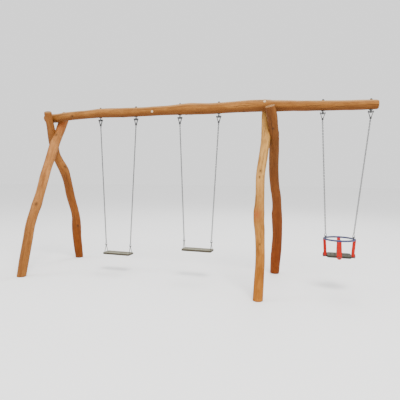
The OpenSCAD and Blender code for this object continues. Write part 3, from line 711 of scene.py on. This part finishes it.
def chain_points(top, bottom, first_side):
    """Links from top to bottom, each a quarter turn from the one before."""
    down = (bottom - top).normalized()
    side = (first_side - down * down.dot(first_side)).normalized()
    other = down.cross(side)
    length = (bottom - top).length
    count = 2 * round((length - 2 * WIRE_R) / LINK_PITCH / 2)
    pitch = (length - 2 * WIRE_R) / count
    reach = pitch + 2 * WIRE_R
    path = link_path(reach)
    points = []
    faces = []
    for i in range(count):
        middle = top + down * (i * pitch + reach / 2)
        flat = side if i % 2 == 0 else other
        normal = down.cross(flat)
        start = len(points)
        steps = len(path)
        for k, (u, v) in enumerate(path):
            u0, v0 = path[k - 1]
            u1, v1 = path[(k + 1) % steps]
            tangent = (flat * (u1 - u0) + down * (v1 - v0)).normalized()
            outward = tangent.cross(normal)
            for j in range(WIRE_SIDES):
                turn = TAU * j / WIRE_SIDES
                ray = outward * math.cos(turn) + normal * math.sin(turn)
                points.append(middle + flat * u + down * v + ray * WIRE_R)
        faces += tube_faces(steps, WIRE_SIDES, start, closed=True)
    return points, faces


def add_chain(node, body, material):
    bar = np.array([v.co for v in frame["nodes"][node].data.vertices])
    middle = (bar[:, 2].min() + bar[:, 2].max()) / 2
    top = Vector(bar[bar[:, 2] > middle].mean(0))
    bottom = Vector(bar[bar[:, 2] < middle].mean(0))
    down = (bottom - top).normalized()
    points, faces = chain_points(top - down * HOOK_IN, bottom + down * HOOK_IN, Vector((1, 0, 0)))
    add_object(node + "_links", points, faces, material, body, (node,))


# ---------------------------------------------------------------- seats

OUTLINE_STEPS = 40
CORNER_STEPS = 12
FILLET_STEPS = 7
MIDDLE_MARGIN = 0.006
MIDDLE_GAP = 0.001
UNDER_SINK = 0.002
SEAT_CORNER = 0.016
CRADLE_CORNER = 0.022
DRAIN_STEP_X = 0.052
DRAIN_STEP_Y = 0.044
DRAIN_R = 0.007
DRILL_RUN_ON = 0.010
DRILL_SIDES = 28


def outline(half_x, half_y, corner, inset):
    """A rounded rectangle, drawn inset metres inside its edge."""
    x = max(half_x - inset, 0.0004)
    y = max(half_y - inset, 0.0004)
    r = min(max(corner - inset, 0.3 * min(x, y)), 0.95 * min(x, y))
    points = []
    corners = ((1, 1, 0), (-1, 1, 90), (-1, -1, 180), (1, -1, 270))
    for i, (sx, sy, start) in enumerate(corners):
        cx, cy = sx * (x - r), sy * (y - r)
        for k in range(CORNER_STEPS + 1):
            turn = math.radians(start + 90 * k / CORNER_STEPS)
            points.append((cx + r * math.cos(turn), cy + r * math.sin(turn)))
        nx, ny, begin = corners[(i + 1) % 4]
        goal = (nx * (x - r) + r * math.cos(math.radians(begin)),
                ny * (y - r) + r * math.sin(math.radians(begin)))
        from_x, from_y = points[-1]
        for k in range(1, OUTLINE_STEPS):
            share = k / OUTLINE_STEPS
            points.append((from_x + (goal[0] - from_x) * share, from_y + (goal[1] - from_y) * share))
    return points


def plate_profile(thick, half_y, fillet, rim, groove, ribs):
    """Steps (inset, height) from the middle of the underside, round the edge, to the middle of the top.

    The top has a rim, then one groove after another, each groove metres deep and ribs metres on.
    """
    top = [(fillet * (1 - math.cos(t)), thick - fillet * (1 - math.sin(t)))
           for t in np.linspace(0, math.pi / 2, FILLET_STEPS)]
    inset = rim
    top += [(rim - 0.004, thick), (rim - 0.002, thick - groove * 0.4), (rim, thick - groove),
            (rim + 0.002, thick - groove * 0.8)]
    while inset + ribs < half_y - MIDDLE_MARGIN:
        inset += ribs
        top += [(inset - ribs * 0.40, thick - groove * 0.15), (inset - ribs * 0.05, thick - groove * 0.15),
                (inset, thick - groove * 0.9), (inset + ribs * 0.08, thick - groove * 0.9)]
    top.append((half_y - MIDDLE_GAP, thick - groove * 0.15))
    low = [(inset, thick - height) for inset, height in top[:FILLET_STEPS]]
    low += [(rim, 0.0), (rim + 0.004, UNDER_SINK), (half_y - MIDDLE_GAP, UNDER_SINK)]
    return low[::-1] + top


def add_plate(name, node, body, material, corner, fillet, rim, groove, ribs, holes=()):
    low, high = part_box(node)
    middle = (low + high) / 2
    half = (high - low) / 2
    thick = high.z - low.z
    profile = plate_profile(thick, half.y, fillet, rim, groove, ribs)
    points = []
    for inset, height in profile:
        for x, y in outline(half.x, half.y, corner, inset):
            points.append((middle.x + x, middle.y + y, low.z + height))
    sides = len(points) // len(profile)
    faces = tube_faces(len(profile), sides)
    faces.append(tuple(range(sides))[::-1])
    faces.append(tuple(range((len(profile) - 1) * sides, len(profile) * sides)))
    piece = add_object(name, points, faces, material, body, (node,))
    if holes:
        cut_holes(piece, holes)
    return piece


def cut_holes(piece, holes):
    """Drills upright holes, each (x, y, radius, low, high)."""
    tool = bmesh.new()
    for x, y, radius, low, high in holes:
        place = Matrix.Translation((x, y, (low + high) / 2))
        bmesh.ops.create_cone(tool, cap_ends=True, segments=DRILL_SIDES, radius1=radius, radius2=radius,
                              depth=high - low, matrix=place)
    mesh = bpy.data.meshes.new("drill")
    tool.to_mesh(mesh)
    tool.free()
    drill = bpy.data.objects.new("drill", mesh)
    bpy.context.scene.collection.objects.link(drill)
    change = piece.modifiers.new("holes", "BOOLEAN")
    change.operation = "DIFFERENCE"
    change.solver = "EXACT"
    change.object = drill
    apply_modifiers(piece)
    bpy.data.objects.remove(drill)


def apply_modifiers(piece):
    bpy.context.view_layer.update()
    shown = piece.evaluated_get(bpy.context.evaluated_depsgraph_get())
    mesh = bpy.data.meshes.new_from_object(shown)
    piece.modifiers.clear()
    old = piece.data
    piece.data = mesh
    bpy.data.meshes.remove(old)
    mesh.polygons.foreach_set("use_smooth", [True] * len(mesh.polygons))


def add_seats(rubber, cradle_rubber):
    for node, body in (("left_seat_rubber", "left_seat"), ("middle_seat_rubber", "middle_seat")):
        add_plate(body + "_moulding", node, body, rubber,
                  SEAT_CORNER, fillet=0.007, rim=0.014, groove=0.0016, ribs=0.0085)
    low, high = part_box("cradle_seat")
    middle = (low + high) / 2
    holes = [(middle.x + DRAIN_STEP_X * i, middle.y + DRAIN_STEP_Y * k, DRAIN_R,
              low.z - DRILL_RUN_ON, high.z + DRILL_RUN_ON)
             for i in range(-2, 3) for k in range(-2, 3)]
    add_plate("cradle_seat_moulding", "cradle_seat", "cradle", cradle_rubber,
              CRADLE_CORNER, fillet=0.007, rim=0.016, groove=0.0014, ribs=0.022, holes=holes)


# ---------------------------------------------------------------- cradle

STRUT_VOXEL = 0.0020
SOFTEN_ROUNDS = 10
SLEEVE_R = 0.013
CLIP_REACH = 0.0195
CLIP_FADE = 0.002
CLIP_LOW = -0.013
CLIP_LOW_FADE = 0.004
CLIP_PROUD = 0.0003
SLEEVE_TURNS = 144
SLEEVE_SIDES = 28
SLEEVE_JOINTS = (24, 156, 204, 336)


def add_struts(material):
    """Red mouldings: the CAD struts with every edge rounded as a mould leaves it."""
    for side in ("left", "right", "front", "back"):
        node = f"cradle_{side}_strut"
        source = frame["nodes"][node]
        piece = bpy.data.objects.new(node + "_moulding", source.data.copy())
        bpy.context.scene.collection.objects.link(piece)
        remesh = piece.modifiers.new("even", "REMESH")
        remesh.mode = "VOXEL"
        remesh.voxel_size = STRUT_VOXEL
        soften = piece.modifiers.new("soften", "SMOOTH")
        soften.factor = 0.5
        soften.iterations = SOFTEN_ROUNDS
        apply_modifiers(piece)
        draw_in_clip(piece)
        piece.data.materials.clear()
        piece.data.materials.append(material)
        settle(piece, "cradle", (node,))


def draw_in_clip(piece):
    """Draws a strut's clip in round the ring, where the sleeve covers it."""
    middle, ring_r = ring_place()
    points = np.array([v.co for v in piece.data.vertices])
    spoke = points - np.array(middle)
    reach = np.hypot(spoke[:, 0], spoke[:, 1])
    out, rise = reach - ring_r, spoke[:, 2]
    away = np.maximum(np.hypot(out, rise), 0.001)
    covered = np.clip((CLIP_REACH - away) / CLIP_FADE, 0, 1)
    covered *= np.clip((rise - CLIP_LOW) / CLIP_LOW_FADE, 0, 1)
    pull = 1 + covered * (np.minimum(away, SLEEVE_R + CLIP_PROUD) / away - 1)
    points[:, 0] = middle.x + spoke[:, 0] / reach * (ring_r + out * pull)
    points[:, 1] = middle.y + spoke[:, 1] / reach * (ring_r + out * pull)
    points[:, 2] = middle.z + rise * pull
    piece.data.vertices.foreach_set("co", points.astype(np.float32).ravel())
    piece.data.update()
    store(piece, "sleeved", covered)


def ring_place():
    low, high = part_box("cradle_ring")
    return (low + high) / 2, (high.x - low.x) / 2 - SLEEVE_R


def add_sleeve(material):
    """The rubber sleeve round the cradle's ring, with a raised lip at each joint."""
    middle, ring_r = ring_place()
    points = []
    for i in range(SLEEVE_TURNS):
        turn = TAU * i / SLEEVE_TURNS
        seam = min(abs(around(turn, math.radians(joint))) for joint in SLEEVE_JOINTS)
        lip = 0.0004 * math.exp(-(seam * ring_r / 0.004) ** 2)
        for k in range(SLEEVE_SIDES):
            roll = TAU * k / SLEEVE_SIDES
            wave = 0.0002 * noise.noise(Vector((turn * 9, math.cos(roll) * 2, math.sin(roll) * 2)))
            bar = SLEEVE_R - 0.0006 + lip + wave
            reach = ring_r + bar * math.cos(roll)
            points.append((middle.x + reach * math.cos(turn), middle.y + reach * math.sin(turn),
                           middle.z + bar * math.sin(roll)))
    faces = [face[::-1] for face in tube_faces(SLEEVE_TURNS, SLEEVE_SIDES, closed=True)]
    add_object("cradle_ring_sleeve", points, faces, material, "cradle", ("cradle_ring",))


# ---------------------------------------------------------------- everything together

def paint_node(name, material):
    mesh = frame["nodes"][name].data
    mesh.materials.clear()
    mesh.materials.append(material)


add_camera()
add_studio()

zinc = galvanised()
coat = powder_coat()
finishes = {
    "galvanised_steel": zinc,
    "dark_steel": coat,
    "nylon_bush": nylon(),
    "core_aluminium": mill_aluminium(),
    "pale_wood": plug_wood("pale_plug_wood", (0.40, 0.26, 0.13), (0.62, 0.48, 0.30)),
    "oiled_log": plug_wood("plug_wood", (0.20, 0.080, 0.020), (0.36, 0.17, 0.050)),
    "seat_rubber": moulded_rubber(
        "grey_seat_rubber", (0.040, 0.034, 0.022), (0.26, 0.245, 0.18), (0.15, 0.145, 0.10)),
    "cradle_rubber": moulded_rubber(
        "olive_seat_rubber", (0.022, 0.021, 0.014), (0.085, 0.080, 0.058), (0.045, 0.048, 0.030)),
    "blue_sleeve": blue_rubber(),
    "red_plastic": red_moulding(),
}
for part in frame["record"]["subparts"]:
    paint_node(part["node"], finishes[part["material_slot"]])

add_logs()
for swing in ("left_swing", "middle_swing", "cradle_swing"):
    for side in ("left", "right"):
        add_chain(f"{swing}_{side}_chain", swing, zinc)
add_seats(finishes["seat_rubber"], finishes["cradle_rubber"])
add_sleeve(finishes["blue_sleeve"])
add_struts(finishes["red_plastic"])
